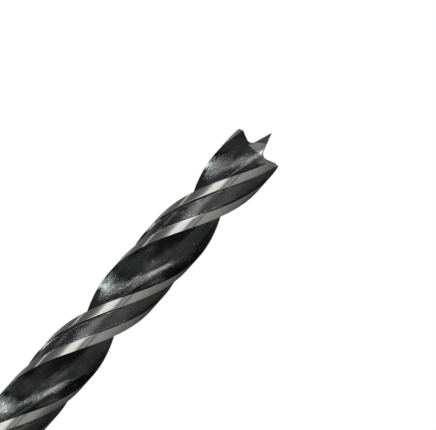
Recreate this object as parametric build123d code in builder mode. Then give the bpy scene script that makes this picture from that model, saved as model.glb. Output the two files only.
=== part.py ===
from build123d import *
import os
from math import cos, pi, radians, sin, tan

# Wood drill bit with a brad point, two right-hand spiral flutes and two ground margins on
# each land. It is one piece of tool steel. The origin is the centre of the shank's end
# face, +Z runs up the axis to the brad point, and the two lips are ground in line with X.

# Overall sizes, in mm
drill_diameter = 10.0
shank_diameter = 10.0
overall_length = 133.0
flute_length = 87.0
shank_chamfer = 0.6

# Spiral, which climbs to the right: one turn of a flute takes this length
spiral_lead = 56.0

# Section of one land, as widths along its outer surface
leading_margin_width = 1.86
clearance_width = 3.42
heel_margin_width = 1.74
clearance_depth = 0.36
clearance_step_width = 0.22

# Section of one flute: the web between the two, how far its deepest point is turned from
# the middle towards the land in front of it, how far its walls lean from the radius at
# their corners, and how far walls and bottom hold their directions before they curve
web_thickness = 2.2
flute_bottom_turn = 12.0
rake_wall_lean = 4.0
heel_wall_lean = 20.0
wall_reach = 1.45
bottom_reach = 1.45

# The lands are left this proud of the diameter, and then ground down to it. From the point
# to the shank the ground diameter falls by the back taper, so that they don't rub.
grinding_stock = 0.4
back_taper = 0.06

# Run-out, where the bottoms of flutes and clearance climb back to the shank
run_out_length = 12.0

# Ground end: the wheel's profile for lip and brad, the relief behind the lip, and the flats
# that bring the web to a point
brad_height = 4.5
brad_half_angle = 17.5
lip_rise_angle = 12.5
lip_corner_radius = 1.1
relief_angle = 12.5
brad_flat_half_angle = 24.0
# How far the lands are turned from the lips that are ground on them
land_turn = -9.6

drill_radius = drill_diameter / 2
shank_radius = shank_diameter / 2
shank_length = overall_length - flute_length
clearance_radius = drill_radius - clearance_depth
degrees_per_mm = 180 / (pi * drill_radius)
land_angle = (leading_margin_width + clearance_width + heel_margin_width) * degrees_per_mm
brad_taper = tan(radians(brad_half_angle))
flat_taper = tan(radians(brad_flat_half_angle))
flat_length = brad_height - lip_corner_radius
# How far the shapes that are joined or cut away reach past each other
tuck = 0.1


def at(radius, angle):
    """Point of the section at a radius and an angle in degrees."""
    return Vector(radius * cos(radians(angle)), radius * sin(radians(angle)))


# Where the lands point at the start of the spiral, which brings them round to the lips
start_turn = land_turn - 360 * (flute_length - brad_height) / spiral_lead

with BuildPart() as drill_bit:
    # Fluted body: one section of two lands and two flutes, twisted along the axis
    with BuildSketch(Plane.XY.offset(shank_length)):
        with BuildLine():
            for land in (start_turn, start_turn + 180):
                lip_corner = land + land_angle / 2
                heel_corner = land - land_angle / 2
                floor_front = lip_corner - leading_margin_width * degrees_per_mm
                floor_back = floor_front - clearance_width * degrees_per_mm
                step = clearance_step_width * degrees_per_mm
                floor = CenterArc(
                    (0, 0), clearance_radius, floor_front - step, floor_back - floor_front + 2 * step
                )
                # The steps at the clearance's edges go on past the diameter by their own height
                front_step = Line(floor @ 0, at(drill_radius, floor_front) * 2 - floor @ 0)
                back_step = Line(floor @ 1, at(drill_radius, floor_back) * 2 - floor @ 1)

                into_flute = -at(1, heel_corner - heel_wall_lean)
                along_bottom = at(1, land - 180 + flute_bottom_turn)
                out_of_flute = at(1, lip_corner - 180 - rake_wall_lean)
                bottom = at(web_thickness / 2, land - 90 + flute_bottom_turn)
                heel = at(drill_radius, heel_corner)
                lip = at(drill_radius, lip_corner - 180)
                heel_wall = Bezier(
                    heel - into_flute * grinding_stock,
                    heel + into_flute * wall_reach,
                    bottom - along_bottom * bottom_reach,
                    bottom,
                )
                rake_wall = Bezier(
                    bottom,
                    bottom + along_bottom * bottom_reach,
                    lip - out_of_flute * wall_reach,
                    lip + out_of_flute * grinding_stock,
                )
                Line(back_step @ 1, heel_wall @ 0)
                Line(rake_wall @ 1, -(front_step @ 1))
        make_face()
    with BuildLine() as axis:
        Line((0, 0, shank_length), (0, 0, overall_length + tuck))
    with BuildLine() as spiral:
        Helix(
            pitch=spiral_lead,
            height=flute_length + tuck,
            radius=drill_radius,
            center=(0, 0, shank_length),
        )
    sweep(path=axis.line, binormal=spiral.line.edge())

    # The lands are ground round, down to the diameter and its back taper
    with Locations((0, 0, shank_length)):
        Cone(
            bottom_radius=drill_radius - back_taper / 2,
            top_radius=drill_radius,
            height=flute_length + tuck,
            align=(Align.CENTER, Align.CENTER, Align.MIN),
            mode=Mode.INTERSECT,
        )

    # Each land's end is ground by one wheel profile, which leaves the lip and one flank of
    # the brad. The wheel travels across the land and falls by the relief angle behind the lip.
    for side in (1, -1):
        travel = Vector(0, -side * cos(radians(relief_angle)), -sin(radians(relief_angle)))
        with BuildSketch(Plane((0, 0, overall_length), x_dir=(side, 0, 0), z_dir=travel)) as wheel:
            with BuildLine():
                flank = Line(
                    (-drill_radius * brad_taper, drill_radius),
                    (brad_height * brad_taper, -brad_height),
                )
                lip_end = flank @ 1 + Vector(1, tan(radians(lip_rise_angle))) * drill_radius
                Polyline(flank @ 1, lip_end, (lip_end.X, drill_radius), flank @ 0)
            make_face()
            fillet(wheel.vertices().sort_by(Axis.Y)[0], lip_corner_radius)
        extrude(amount=drill_diameter, both=True, mode=Mode.SUBTRACT)

    # The brad's other two sides are ground flat where the web runs up into it
    for side in (1, -1):
        with BuildSketch(Plane((0, 0, overall_length), x_dir=(0, side, 0), z_dir=(side, 0, 0))):
            with BuildLine():
                Polyline(
                    (-drill_radius * flat_taper, drill_radius),
                    (flat_length * flat_taper, -flat_length),
                    (drill_radius, -flat_length),
                    (drill_radius, drill_radius),
                    close=True,
                )
            make_face()
        extrude(amount=brad_height * brad_taper, both=True, mode=Mode.SUBTRACT)

    # Shank with its chamfered end, and the hollow cone of steel in which flutes and
    # clearances end, where the cutter left the bar on an arc
    with BuildSketch(Plane.XZ):
        with BuildLine():
            rise = TangentArc(
                (web_thickness / 2 - tuck, shank_length + run_out_length),
                (drill_radius - tuck, shank_length),
                tangent=(0, -1),
            )
            Polyline(
                rise @ 1,
                (shank_radius, shank_length),
                (shank_radius, shank_chamfer),
                (shank_radius - shank_chamfer, 0),
                (0, 0),
                (0, shank_length + run_out_length),
                rise @ 0,
            )
        make_face()
    revolve(axis=Axis.Z)
drill_bit.part.label = "drill_bit"

os.makedirs("parts", exist_ok=True)
export_step(drill_bit.part, "parts/drill_bit.step")
print(drill_bit.part.volume, drill_bit.part.bounding_box(), len(drill_bit.faces()))
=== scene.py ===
from math import atan, cos, pi, radians, sin, tan

import bpy
import numpy as np
from mathutils import Matrix, Vector


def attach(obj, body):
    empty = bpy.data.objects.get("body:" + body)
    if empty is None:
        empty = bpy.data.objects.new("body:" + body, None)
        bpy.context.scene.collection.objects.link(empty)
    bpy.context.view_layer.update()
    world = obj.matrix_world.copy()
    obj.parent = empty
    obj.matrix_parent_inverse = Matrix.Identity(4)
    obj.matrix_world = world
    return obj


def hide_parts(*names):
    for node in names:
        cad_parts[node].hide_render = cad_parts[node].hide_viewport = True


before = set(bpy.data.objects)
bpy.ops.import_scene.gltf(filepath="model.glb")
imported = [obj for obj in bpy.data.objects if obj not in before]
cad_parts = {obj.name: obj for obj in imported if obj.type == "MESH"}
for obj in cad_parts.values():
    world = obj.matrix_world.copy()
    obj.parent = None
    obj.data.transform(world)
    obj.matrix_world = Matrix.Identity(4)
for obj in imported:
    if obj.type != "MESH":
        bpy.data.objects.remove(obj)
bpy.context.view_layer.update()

# The drill bit is one bar of tool steel. Its flutes are rolled hot and keep their black oxide
# scale, then the margins, the shank and the brad-point end are ground bright. Sizes are in
# millimetres and are the same as the solid's, which this mesh stands for.
MM = 0.001
bit_radius = 5.0
bit_length = 133.0
flute_length = 87.0
shank_chamfer = 0.6
spiral_lead = 56.0
brad_height = 4.5
# How far the lands are turned from the lips that are ground on them
land_turn = -9.6

shank_length = bit_length - flute_length
lips_height = bit_length - brad_height

# Widths along the surface of one land, the depth between its margins, and the worn edges
leading_margin = 1.86
clearance_width = 3.42
heel_margin = 1.74
clearance_depth = 0.36
clearance_step = 0.22
edge_wear = 0.05
# Web between the two flutes, and how a flute's walls lean, reach and are ground away
web_thickness = 2.2
flute_bottom_turn = 12.0
rake_wall_lean = 4.0
heel_wall_lean = 20.0
wall_reach = 1.45
bottom_reach = 1.45
grinding_stock = 0.4
# Points of the section on each margin, on the clearance's floor and on each flute wall
margin_points = 10
floor_points = 15
wall_points = 30

degrees_per_mm = 180 / (pi * bit_radius)
land_angle = (leading_margin + clearance_width + heel_margin) * degrees_per_mm
MARGIN, OXIDE, GROUND_END, SHANK = range(4)


def at(radius, angle):
    """Point or points at a radius and an angle in degrees, as rows of x and y."""
    turn = np.radians(np.asarray(angle, dtype=float))
    return np.stack([radius * np.cos(turn), radius * np.sin(turn)], axis=-1)


def flute_wall(start, start_control, end_control, end, count):
    """Cubic curve: its four points weighted by the Bernstein polynomials of t. It keeps the
    stretch within the diameter, as count points, since the ends are ground away with the land."""
    t = np.linspace(0, 1, 2000)[:, None]
    weights = (1 - t) ** 3, 3 * t * (1 - t) ** 2, 3 * t**2 * (1 - t), t**3
    curve = sum(w * p for w, p in zip(weights, (start, start_control, end_control, end)))
    kept = curve[np.hypot(curve[:, 0], curve[:, 1]) <= bit_radius]
    return kept[np.linspace(0, len(kept) - 1, count).astype(int)]


def half_section():
    """Outline of the land that faces +X and of the flute behind it, from the lip corner
    round to the next land's lip corner. Arcs at the two radii for margins and clearance,
    straight steps between them, and two cubic curves for the flute's walls. It gives the
    points, and for each step to the next point the finish that it has."""
    front = land_angle / 2
    floor_front = front - leading_margin * degrees_per_mm
    floor_back = floor_front - clearance_width * degrees_per_mm
    back = -land_angle / 2
    step = clearance_step * degrees_per_mm
    floor_radius = bit_radius - clearance_depth
    worn = edge_wear * degrees_per_mm
    bottom_angle = -90 + flute_bottom_turn
    into_flute = -at(1, back - heel_wall_lean)
    along_bottom = at(1, bottom_angle - 90)
    out_of_flute = at(1, front - 180 - rake_wall_lean)
    heel, lip = at(bit_radius, back), at(bit_radius, front - 180)
    bottom = at(web_thickness / 2, bottom_angle)
    heel_wall = flute_wall(
        heel - into_flute * grinding_stock,
        heel + into_flute * wall_reach,
        bottom - along_bottom * bottom_reach,
        bottom,
        wall_points,
    )
    rake_wall = flute_wall(
        bottom,
        bottom + along_bottom * bottom_reach,
        lip - out_of_flute * wall_reach,
        lip + out_of_flute * grinding_stock,
        wall_points + 1,
    )
    pieces = [
        (at(bit_radius, np.linspace(front, floor_front + worn, margin_points)), MARGIN),
        (at(bit_radius - edge_wear / 2, [floor_front]), OXIDE),
        (at(floor_radius, np.linspace(floor_front - step, floor_back + step, floor_points)), OXIDE),
        (at(bit_radius - edge_wear / 2, [floor_back]), MARGIN),
        (at(bit_radius, np.linspace(floor_back - worn, back, margin_points)), MARGIN),
        (heel_wall[1:], OXIDE),
        (rake_wall[1:-1], OXIDE),
    ]
    points = np.concatenate([p for p, _ in pieces])
    finish = np.concatenate([np.full(len(p), kind) for p, kind in pieces])
    return points, finish


half_points, half_finish = half_section()
section = np.concatenate([half_points, -half_points])
section_finish = np.concatenate([half_finish, half_finish])
section_radius = np.hypot(section[:, 0], section[:, 1])
section_angle = np.unwrap(np.arctan2(section[:, 1], section[:, 0]))
columns = len(section)

# Lengthwise: the cutter leaves the bar over the run-out, and the lands are ground to a taper
run_out_length = 12.0
back_taper = 0.06
# How many points after an overhang are moved with it
overhang_room = 2


def fan_out(angle):
    """The angles of a row made to fall all the way: where they rise again, under the heel,
    they and a few after them are spread evenly between their neighbours."""
    places = np.arange(len(angle))
    rising = np.flatnonzero(angle > np.minimum.accumulate(angle))
    moved = np.unique(np.clip(rising[:, None] + np.arange(overhang_room + 1), 0, places[-1]))
    kept = np.setdiff1d(places, moved)
    return np.interp(places, kept, angle[kept])


# Under the heel the flute's wall overhangs, and the run-out covers it
covered_angle = fan_out(section_angle)


def run_out_radius(z):
    """Radius of the steel left by the cutter as it leaves the bar: an arc that is parallel
    to the axis at the web and meets the bar's surface at the shank."""
    reach = np.clip((shank_length + run_out_length - z) / run_out_length, 0, 1)
    rise = bit_radius - web_thickness / 2
    arc_radius = (run_out_length**2 + rise**2) / (2 * rise)
    return web_thickness / 2 + arc_radius - np.sqrt(arc_radius**2 - (reach * run_out_length) ** 2)


def section_at(z):
    """The section's points at heights z: turned by one turn for each lead, no nearer the
    axis than the run-out leaves them, and ground down to the taper of the lands."""
    climb = np.maximum(z, shank_length) - lips_height
    angle = np.where(section_radius < run_out_radius(z), covered_angle, section_angle)
    turn = angle + np.radians(360 * climb / spiral_lead + land_turn)
    taper = back_taper / 2 * (bit_length - z) / flute_length
    ground_radius = bit_radius - np.where(z < shank_length, 0, taper)
    radius = np.minimum(np.maximum(section_radius, run_out_radius(z)), ground_radius)
    return radius * np.cos(turn), radius * np.sin(turn)


# Ground end: the wheel's profile for lip and brad, the relief behind the lip, and the flats
# that bring the web to a point. Angles are in degrees.
brad_half_angle = 17.5
lip_rise_angle = 12.5
lip_corner_radius = 1.1
relief_angle = 12.5
brad_flat_half_angle = 24.0


def wheel_profile(x):
    """Height left by the grinding wheel at x from the axis: the brad's flank, then the lip,
    with an arc between them."""
    foot = brad_height * tan(radians(brad_half_angle))
    flank_slope = -1 / tan(radians(brad_half_angle))
    lip_slope = tan(radians(lip_rise_angle))
    flank = x * flank_slope
    lip = -brad_height + (x - foot) * lip_slope
    half_corner = (atan(lip_slope) - atan(flank_slope)) / 2
    reach = lip_corner_radius * tan(half_corner)
    flank_end = foot - reach * sin(radians(brad_half_angle))
    centre_x = flank_end + lip_corner_radius * cos(radians(brad_half_angle))
    centre_z = flank_end * flank_slope + lip_corner_radius * sin(radians(brad_half_angle))
    lip_start = foot + reach * cos(radians(lip_rise_angle))
    inside = np.clip(lip_corner_radius**2 - (x - centre_x) ** 2, 0, None)
    arc = centre_z - np.sqrt(inside)
    return np.where(x < flank_end, flank, np.where(x < lip_start, arc, lip))


def end_height(x, y):
    """Height of the ground end over a point of the section: the lowest of two wheel cuts,
    which fall behind the lips by the relief angle, and the brad's two flats."""
    relief = radians(relief_angle)
    one = (wheel_profile(x) + y * sin(relief)) / cos(relief)
    other = (wheel_profile(-x) - y * sin(relief)) / cos(relief)
    flat_depth = brad_height - lip_corner_radius
    flats = -np.minimum(np.abs(y) / tan(radians(brad_flat_half_angle)), flat_depth)
    flats = np.where(np.abs(x) < brad_height * tan(radians(brad_half_angle)), flats, 0)
    return bit_length + np.minimum(np.minimum(one, other), flats)


def top_of_columns():
    """Height at which each of the section's points first meets the ground end, going up the
    spiral: the first crossing on a fine ladder of heights, then halved into place."""
    ladder_foot, rungs, halvings = lips_height - 4, 700, 24
    ladder = np.linspace(ladder_foot, bit_length, rungs)[:, None]
    x, y = section_at(ladder)
    first = np.argmax(ladder > end_height(x, y), axis=0)
    low, high = ladder[first - 1, 0], ladder[first, 0]
    for _ in range(halvings):
        middle = (low + high) / 2
        x, y = section_at(middle)
        above = middle > end_height(x, y)
        low, high = np.where(above, low, middle), np.where(above, middle, high)
    return low


# The side is a grid: one column for each point of the section, and rows up the shank, up the
# flutes, and from there evenly to where each column meets the ground end
row_pitch = 0.25
trim_height = lips_height - 6
trim_rows = 45
beside_chamfer = 0.05
below_flutes = 0.1
plain_shank_rows = 12, 24, 36
shank_rows = np.array(
    [0, shank_chamfer, shank_chamfer + beside_chamfer, *plain_shank_rows, shank_length - below_flutes]
)
flute_rows = np.linspace(shank_length, trim_height, round((trim_height - shank_length) / row_pitch))
share = np.linspace(0, 1, trim_rows + 1)[1:, None]
heights = np.concatenate(
    [
        np.repeat(np.concatenate([shank_rows, flute_rows])[:, None], columns, axis=1),
        trim_height + share * (top_of_columns() - trim_height),
    ]
)
x, y = section_at(heights)
shank_scale = 1 - np.clip(shank_chamfer - heights, 0, None) / bit_radius
side = np.stack([x * shank_scale, y * shank_scale, heights], axis=-1)

# The ground end's rings shrink towards the axis. Over the first of them the angles fan out,
# which keeps all but a sliver at the heel from folding over the flute's overhanging wall.
end_rings = 44
fanned_rings = 20
ring_power = 0.9
ring = (np.linspace(1, 0, end_rings + 1)[1:-1] ** ring_power)[:, None]
top_radius, top_angle = np.hypot(x[-1], y[-1]), np.unwrap(np.arctan2(y[-1], x[-1]))
and_on = np.concatenate([top_angle, top_angle[: len(half_points)] - 2 * pi])
fanned_angle = -fan_out(-and_on[::-1])[::-1][:columns]
share_fanned = np.clip(np.arange(1, end_rings) / fanned_rings, 0, 1)[:, None]
ring_angle = top_angle + (fanned_angle - top_angle) * share_fanned
ring_x, ring_y = top_radius * ring * np.cos(ring_angle), top_radius * ring * np.sin(ring_angle)
end = np.stack([ring_x, ring_y, np.minimum(end_height(ring_x, ring_y), bit_length)], axis=-1)

# Rows of side and end joined by quads, and closed by a fan at the brad's tip and at the foot
rows = np.concatenate([side, end])
gaps = len(rows) - 1
points = np.concatenate([rows.reshape(-1, 3), [[0, 0, bit_length], [0, 0, 0]]]) * MM
tip_point, foot_point = len(points) - 2, len(points) - 1
lower = np.arange(gaps)[:, None] * columns
here = np.arange(columns)
after = np.roll(here, -1)
quads = np.stack(
    [lower + after, lower + here, lower + columns + here, lower + columns + after], axis=-1
).reshape(-1, 4)
last = gaps * columns
tip_fan = np.stack([last + after, last + here, np.full(columns, tip_point)], axis=-1)
foot_fan = np.stack([here, after, np.full(columns, foot_point)], axis=-1)

mesh = bpy.data.meshes.new("drill_bit_steel")
mesh.from_pydata(points.tolist(), [], quads.tolist() + tip_fan.tolist() + foot_fan.tolist())
bit = bpy.data.objects.new("drill_bit_steel", mesh)
bpy.context.collection.objects.link(bit)

# A map in millimetres unrolls the bit's side along the spiral: u goes round the section and v
# climbs with the flutes.
steps_round = np.hypot(*(np.roll(section, -1, axis=0) - section).T)
u_edges = np.concatenate([[0], np.cumsum(steps_round)])
climb_share = np.hypot(1, 2 * pi * bit_radius / spiral_lead)
v_here = np.concatenate([heights, np.full((len(end), columns), bit_length)]) * climb_share
v_after = np.roll(v_here, -1, axis=1)
u_here = np.broadcast_to(u_edges[:-1], (gaps, columns))
u_after = np.broadcast_to(u_edges[1:], (gaps, columns))
corners = (u_after, v_after[:-1]), (u_here, v_here[:-1]), (u_here, v_here[1:]), (u_after, v_after[1:])
quad_map = np.stack([np.stack(corner, axis=-1) for corner in corners], axis=-2).reshape(-1, 2)
fan_corners = len(mesh.loops) - len(quad_map)
unrolled = mesh.uv_layers.new(name="unrolled")
unrolled.data.foreach_set("uv", np.concatenate([quad_map, np.zeros((fan_corners, 2))]).ravel())

# Finish of each face. The brad's flats are ground as far down as the web thins into them.
brad_ground_length = 4.5
brad_ground_radius = 2.15
on_brad = rows[:-1, :, 2] > bit_length - brad_ground_length
on_brad &= np.hypot(rows[:-1, :, 0], rows[:-1, :, 1]) < brad_ground_radius
finish = np.tile(section_finish, (gaps, 1))
finish[: len(shank_rows)] = SHANK
finish[len(side) - 1 :] = GROUND_END
finish[on_brad] = GROUND_END
finish = np.concatenate([finish.ravel(), np.full(columns, GROUND_END), np.full(columns, SHANK)])


def feed(tree, socket, value):
    """Links a value to a socket, or sets a plain number or colour on it."""
    if isinstance(value, Value):
        tree.links.new(value.socket, socket)
    else:
        socket.default_value = value


class Value:
    """A shader socket that can be used in an expression."""

    def __init__(self, tree, socket):
        self.tree, self.socket = tree, socket

    def math(self, operation, *others):
        node = self.tree.nodes.new("ShaderNodeMath")
        node.operation = operation
        for socket, value in zip(node.inputs, (self, *others)):
            feed(self.tree, socket, value)
        return Value(self.tree, node.outputs[0])

    def __add__(self, other):
        return self.math("ADD", other)

    def __mul__(self, other):
        return self.math("MULTIPLY", other)

    def __sub__(self, other):
        return self.math("SUBTRACT", other)

    def __rsub__(self, other):
        return (self * -1).math("ADD", other)

    __radd__, __rmul__ = __add__, __mul__


class Shader:
    """The node tree of one material or world, cleared to start with."""

    def __init__(self, owner):
        owner.use_nodes = True
        self.tree = owner.node_tree
        self.tree.nodes.clear()

    def node(self, kind, settings=None, **values):
        """A node of a type, with its settings, and values or links for its sockets. A socket
        goes by its name without spaces, or by its identifier where names are shared."""
        made = self.tree.nodes.new("ShaderNode" + kind)
        for name, value in (settings or {}).items():
            setattr(made, name, value)
        in_use = [socket for socket in made.inputs if socket.enabled]
        for name, value in values.items():
            socket = next(i for i in in_use if name in (i.name.replace(" ", ""), i.identifier))
            feed(self.tree, socket, value)
        return made

    def out(self, node, name):
        return Value(self.tree, next(o for o in node.outputs if o.enabled and o.name == name))

    def mix_colour(self, share, first, second):
        """From the first colour at a share of 0 to the second at 1."""
        first, second = (c if isinstance(c, Value) else (*c, 1) for c in (first, second))
        mixed = self.node("Mix", {"data_type": "RGBA"}, Factor=share, A=first, B=second)
        return self.out(mixed, "Result")

    def material(self, **values):
        """The Principled shader, linked to the output."""
        shader = self.node("BsdfPrincipled", **values)
        self.tree.links.new(shader.outputs[0], self.node("OutputMaterial").inputs["Surface"])


def noise(s, place, size, detail, stretch=None):
    """Noise from 0 to 1 with grains of a size in millimetres, stretched along X, Y and Z."""
    if stretch:
        divided = s.node("VectorMath", {"operation": "DIVIDE"}, Vector=place, Vector_001=stretch)
        place = s.out(divided, "Vector")
    return s.out(s.node("TexNoise", Vector=place, Scale=1 / size, Detail=detail), "Fac")


def ramp(value, low, high):
    """Rises evenly from 0 at low to 1 at high, and stays there."""
    return ((value - low) * (1 / (high - low))).math("MAXIMUM", 0.0).math("MINIMUM", 1.0)


def ground_steel(name, colour, roughness, line_pitch, line_depth):
    """Bright steel, faintly stained, with fine lines that the wheel or the tool leaves round
    the axis: noise in millimetres, drawn out across the axis."""
    stain_size, stain_darkening = 1.3, 0.9
    line_stretch, line_roughness = (60.0, 60.0, 1.0), 0.06
    material = bpy.data.materials.new(name)
    s = Shader(material)
    metres = s.out(s.node("TexCoord"), "Object")
    place = s.out(s.node("VectorMath", {"operation": "SCALE"}, Vector=metres, Scale=1 / MM), "Vector")
    lines = noise(s, place, line_pitch, 3.0, line_stretch)
    stains = ramp(noise(s, place, stain_size, 3.0), 0.35, 0.75)
    bump = s.node("Bump", Height=lines, Strength=1.0, Distance=line_depth * MM)
    s.material(
        BaseColor=s.mix_colour(stains, colour, tuple(c * stain_darkening for c in colour)),
        Metallic=1.0,
        Roughness=ramp(lines, 0.2, 0.8) * line_roughness + roughness,
        Normal=s.out(bump, "Normal"),
    )
    return material


# Black scale: places round the section, from lip corner to lip corner, and its colours
places = u_edges.tolist()
half_round = places[columns // 2]
front_step_top = places[margin_points]
front_step_foot = places[margin_points + 1]
back_step_foot = places[margin_points + floor_points]
back_step_top = places[margin_points + floor_points + 1]
heel_place = places[2 * margin_points + floor_points + 1]
clearance_middle = (front_step_foot + back_step_foot) / 2
back_ridge_place = back_step_foot - 0.12
rolling_seam_place = 12.2
temper_place = half_round - 0.7
coarse_band_place = heel_place + 6.6
scale_blue = (0.088, 0.097, 0.092)
scale_purple = (0.153, 0.145, 0.148)
bare_steel = (0.6, 0.69, 0.65)
# Near-black colour painted on the walls of the clearance's steps as shade
step_painted_shade = (0.035, 0.037, 0.037)
temper_blue = (0.045, 0.105, 0.13)
# Sizes of its patches and grains, how deep the grain is, and how dull the skin
tint_patch_size = 2.4
grain_patch_size = 1.7
fine_grain_size = 0.17
coarse_grain_size = 0.5
streak_width = 0.35
grain_depth = 0.05
scale_roughness = 0.08


def near(u, place, width):
    """1 on a line that runs along the bit at a place round the section, and 0 at a width
    from it."""
    return ramp((u - place).math("ABSOLUTE"), width, 0.0)


def oxide_scale():
    """Black scale: a dark, slightly glossy skin with a grain drawn out along the flutes,
    bluish and purple by patches, and rubbed through to bare steel in flecks along the
    edges and along the seam that the rolls left in the flute."""
    material = bpy.data.materials.new("black_oxide_scale")
    s = Shader(material)
    place = s.out(s.node("UVMap", {"uv_map": "unrolled"}), "UV")
    u = s.out(s.node("SeparateXYZ", Vector=place), "X").math("MODULO", half_round)
    patches = ramp(noise(s, place, tint_patch_size, 3.0, (1.0, 2.0, 1.0)), 0.4, 0.62)
    fine = noise(s, place, fine_grain_size, 3.0, (1.0, 1.5, 1.0))
    coarse = noise(s, place, coarse_grain_size, 3.0, (1.0, 2.5, 1.0))
    streaks = noise(s, place, streak_width, 2.0, (1.0, 16.0, 1.0))

    # Tint by patches, more purple in the clearance, and a blue temper colour on the flute's
    # rake wall, along the edge of the land in front of it
    in_clearance = near(u, clearance_middle, clearance_width * 0.7)
    tint = s.mix_colour(patches + in_clearance * 0.45, scale_blue, scale_purple)
    tempered = near(u, temper_place, 0.4) * ramp(coarse * 0.5 + patches * 0.2, 0.15, 0.4)
    tint = s.mix_colour(tempered * 0.7, tint, temper_blue)

    # Flecks of bare steel where the scale is rubbed, and painted shade that darkens the steps' walls
    rubbed = near(u, rolling_seam_place, 0.5) * 0.07
    for edge, width in ((front_step_foot + 0.1, 0.22), (back_ridge_place, 0.12), (heel_place, 0.22)):
        rubbed = rubbed + near(u, edge, width) * 0.1
    flecks = ramp(fine * 0.65 + coarse * 0.35 + rubbed, 0.61, 0.66)
    front_step_painted_shade = near(u, (front_step_top + front_step_foot) / 2, 0.1)
    back_step_painted_shade = near(u, (back_step_top + back_step_foot) / 2, 0.12)
    skin = s.mix_colour(flecks * 0.8, tint, bare_steel)

    # Grain, coarser by patches and on the rake wall, and a low ridge at the back step
    grainy = ramp(noise(s, place, grain_patch_size, 2.0, (1.0, 2.5, 1.0)), 0.44, 0.6)
    grainy = grainy + near(u, coarse_band_place, 2.2) * 0.6
    height = fine * (grainy * 0.85 + 0.05) + coarse * 0.22 + streaks * 0.26
    height = height + near(u, back_ridge_place, 0.14) * 0.6
    bump = s.node("Bump", Height=height, Strength=1.0, Distance=grain_depth * MM)
    s.material(
        # The steps' walls are mixed towards near black here: painted shade
        BaseColor=s.mix_colour((front_step_painted_shade + back_step_painted_shade) * 0.85, skin, step_painted_shade),
        Metallic=1.0,
        Roughness=patches * 0.05 + scale_roughness,
        Normal=s.out(bump, "Normal"),
    )
    return material


# The four finishes, in the order of their numbers: MARGIN, OXIDE, GROUND_END and SHANK
for finished in (
    ground_steel("ground_margins", (0.58, 0.587, 0.55), 0.05, 0.12, 0.002),
    oxide_scale(),
    ground_steel("ground_end", (0.5, 0.5, 0.475), 0.26, 0.1, 0.003),
    ground_steel("turned_shank", (0.55, 0.548, 0.53), 0.16, 0.16, 0.006),
):
    mesh.materials.append(finished)
mesh.polygons.foreach_set("material_index", finish.astype(np.int32))
mesh.polygons.foreach_set("use_smooth", np.ones(len(mesh.polygons), dtype=bool))
mesh.set_sharp_from_angle(angle=radians(28))
mesh.update()
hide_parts("drill_bit")
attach(bit, "root")

# The floor is a plain pale board, on which the bit stands on its shank. It carries the bit's
# shadow and reaches far out into the white room. Sizes from here on are in metres.
floor_half = 3.0
floor_mesh = bpy.data.meshes.new("floor")
floor_mesh.from_pydata(
    [(x * floor_half, y * floor_half, 0) for x, y in ((-1, -1), (1, -1), (1, 1), (-1, 1))],
    [],
    [(0, 1, 2, 3)],
)
floor = bpy.data.objects.new("floor", floor_mesh)
bpy.context.collection.objects.link(floor)
floor_material = bpy.data.materials.new("pale_floor")
s = Shader(floor_material)
s.material(BaseColor=(0.8, 0.8, 0.79, 1), Roughness=0.7, SpecularIORLevel=0.0)
floor_mesh.materials.append(floor_material)

# Studio: a dim tent with soft boxes, grey cards and a strip of light stands round the bit.
# Each is a sheet between two circles, and its light changes evenly from level to level.
# Angles go round from the camera's side towards its left.
studio_light = bpy.data.materials.new("studio_light")
s = Shader(studio_light)
glow = s.out(s.node("Attribute", {"attribute_name": "glow"}), "Color")
s.material(BaseColor=(0, 0, 0, 1), SpecularIORLevel=0.0, EmissionColor=glow, EmissionStrength=1.0)


def panel(name, start, end, levels, foot=(0.55, 0), head=(0.55, 0.4), tint=(1, 1, 1)):
    """A sheet of light between two angles: foot and head are the radius and the height of
    its two edges, which are arcs round the axis. The levels lie at even steps along it."""
    steps = 33
    turn = np.radians(np.linspace(start, end, steps))
    around = np.stack([-np.sin(turn), -np.cos(turn)], axis=-1)
    edges = [np.column_stack([around * radius, np.full(steps, z)]) for radius, z in (foot, head)]
    low = np.arange(steps - 1)
    quads = np.stack([low, low + 1, low + 1 + steps, low + steps], axis=-1)
    sheet = bpy.data.meshes.new(name)
    sheet.from_pydata(np.concatenate(edges).tolist(), [], quads.tolist())
    level = np.interp(np.linspace(0, 1, steps), np.linspace(0, 1, len(levels)), levels)
    colour = np.column_stack([np.outer(level, tint), np.ones(steps)])
    sheet.color_attributes.new("glow", "FLOAT_COLOR", "POINT")
    sheet.color_attributes["glow"].data.foreach_set("color", np.tile(colour, (2, 1)).ravel())
    sheet.materials.append(studio_light)
    made = bpy.data.objects.new(name, sheet)
    bpy.context.collection.objects.link(made)
    made.visible_camera = False
    made.visible_shadow = False
    made.visible_diffuse = False


# Tent and roof, then soft boxes and cards on the camera's left and round to the back
panel("tent_wall", -180, 180, [0.2], foot=(0.6, 0), head=(0.6, 0.72))
panel("roof_card", -180, 180, [0.07], foot=(0.61, 0.72), head=(0.01, 0.72))
panel("soft_box", 9, 34, [1.05, 1.25, 1.25, 1.25, 1.28], head=(0.55, 0.26))
panel("soft_box_edge", 34, 66, [1.25, 0.8, 0.52, 0.36, 0.27, 0.22, 0.19, 0.17, 0.16], head=(0.55, 0.18))
panel("soft_box_top", 18, 84, [1.8, 2.4, 2.6, 1.4, 0.9, 0.6], foot=(0.54, 0.2), head=(0.54, 0.4))
panel("upper_card", 24, 84, [0.35, 0.8, 0.9, 0.5], foot=(0.54, 0.41), head=(0.54, 0.62))
panel("left_card", 66, 102, [0.16, 0.15, 0.3, 0.14])
panel("strip_light", 89.2, 91.6, [1.5], foot=(0.54, 0), head=(0.54, 0.4), tint=(1, 0.95, 0.88))
panel("left_back_card", 102, 150, [0.12, 0.16, 0.2, 0.24, 0.5])

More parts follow.
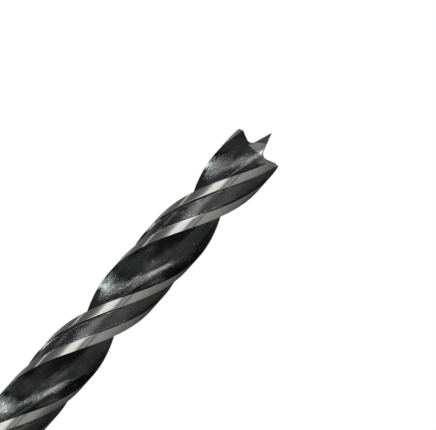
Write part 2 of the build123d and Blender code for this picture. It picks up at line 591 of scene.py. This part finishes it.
# Low cards behind the camera and on its right, a dimmer one over them, and a dark skirting
low_card = {"foot": (0.55, 0), "head": (0.55, 0.2)}
panel("camera_surround", 9, -12, [0.95, 0.6, 0.34, 0.28, 0.4, 0.42, 0.42], **low_card)
panel("camera_stand", -12, -19, [0.24], **low_card)
panel("grey_card", -19, -66, [0.43, 0.43, 0.37, 0.31], **low_card)
panel("right_card", -66, -170, [0.29, 0.22, 0.17, 0.1, 0.06, 0.06], **low_card)
panel("front_upper_card", 16, -145, [0.24, 0.24, 0.2, 0.2], foot=(0.55, 0.2), head=(0.55, 0.4))
panel("right_skirting", -150, -58, [0.06, 0.06, 0.08, 0.22], foot=(0.53, 0), head=(0.53, 0.085))

# Cards and soft boxes that lie flat round the bit
flat_card = {"foot": (0.05, 0.002), "head": (0.53, 0.004)}
near_card = {"foot": (0.05, 0.004), "head": (0.2, 0.006)}
panel("floor_card_right", -145, -58, [0.06, 0.06, 0.09], **flat_card)
panel("floor_card_front", -58, 26, [0.12, 0.22, 0.24, 0.22, 0.08, 0.07], **flat_card)
panel("floor_box", 24, 66, [0.9, 1.3, 1.1, 0.6, 0.2], **flat_card)
panel("floor_box_near", 43, 64, [0.8, 6.0, 7.0, 5.0, 0.8], **near_card, tint=(0.96, 1, 0.97))
panel("floor_card_left", 66, 165, [0.2, 0.12, 0.1, 0.1], **flat_card)
panel("floor_box_back", 165, 225, [0.4, 0.9, 0.9, 0.4], **flat_card)

# A wide soft lamp hangs high over the bit, on the camera's side and to its left. It lights
# the floor, and isn't mirrored in the steel.
lamp_place = (-0.3, -0.3, 1.4)
lamp_direction = Vector((0.3, 0.3, -1.3))
lamp = bpy.data.objects.new("ceiling_light", bpy.data.lights.new("ceiling_light", "AREA"))
bpy.context.collection.objects.link(lamp)
lamp.location = lamp_place
lamp.rotation_euler = lamp_direction.to_track_quat("-Z", "Y").to_euler()
lamp.data.size = 0.9
lamp.data.energy = 11.0
lamp.visible_glossy = False

# The room beyond is plain white. It is at full strength where it is seen or mirrored, and at
# half of it where it lights the floor, so that the bit's shadow stays.
world = bpy.data.worlds.new("white_room")
bpy.context.scene.world = world
s = Shader(world)
path = s.node("LightPath")
seen = s.out(path, "Is Camera Ray") + s.out(path, "Is Glossy Ray") + s.out(path, "Is Transmission Ray")
strength = seen.math("MINIMUM", 1.0) * 0.5 + 0.5
background = s.node("Background", Color=(1, 1, 1, 1), Strength=strength)
s.tree.links.new(background.outputs[0], s.node("OutputWorld").inputs["Surface"])

# Camera: the bit lies across the picture at an angle, cut off by the picture's corner. The
# pixels give the bit's radius, a point on its axis, and how far along the axis its tip is
# from there. The camera is turned about its line of sight until the axis has its angle.
picture_width, picture_height = 436, 430
axis_angle = 48.23
axis_tilt = 4.13
radius_pixels = 28.6
axis_pixel = (154.57, 264.03)
tip_pixels = 176.4
camera_distance = 0.9
sensor_width = 36
pixel = bit_radius * MM / radius_pixels
lean, tilt = radians(axis_angle), radians(axis_tilt)
up_axis = Vector((0, -sin(tilt), cos(tilt)))
back = Vector((0, -cos(tilt), -sin(tilt)))
right = up_axis * cos(lean) + Vector((sin(lean), 0, 0))
up = up_axis * sin(lean) - Vector((cos(lean), 0, 0))
axis_point = Vector((0, 0, bit_length * MM - tip_pixels * pixel / cos(tilt)))
target = (
    axis_point
    + right * (picture_width / 2 - axis_pixel[0]) * pixel
    + up * (axis_pixel[1] - picture_height / 2) * pixel
)
turned = Matrix((right, up, back)).transposed().to_4x4()
camera = bpy.data.objects.new("camera", bpy.data.cameras.new("camera"))
bpy.context.collection.objects.link(camera)
camera.data.sensor_width = sensor_width
camera.data.lens = sensor_width * camera_distance / (picture_width * pixel)
camera.data.clip_start = 0.01
camera.matrix_world = Matrix.Translation(target + back * camera_distance) @ turned
bpy.context.scene.camera = camera
bpy.context.scene.view_settings.view_transform = "Standard"
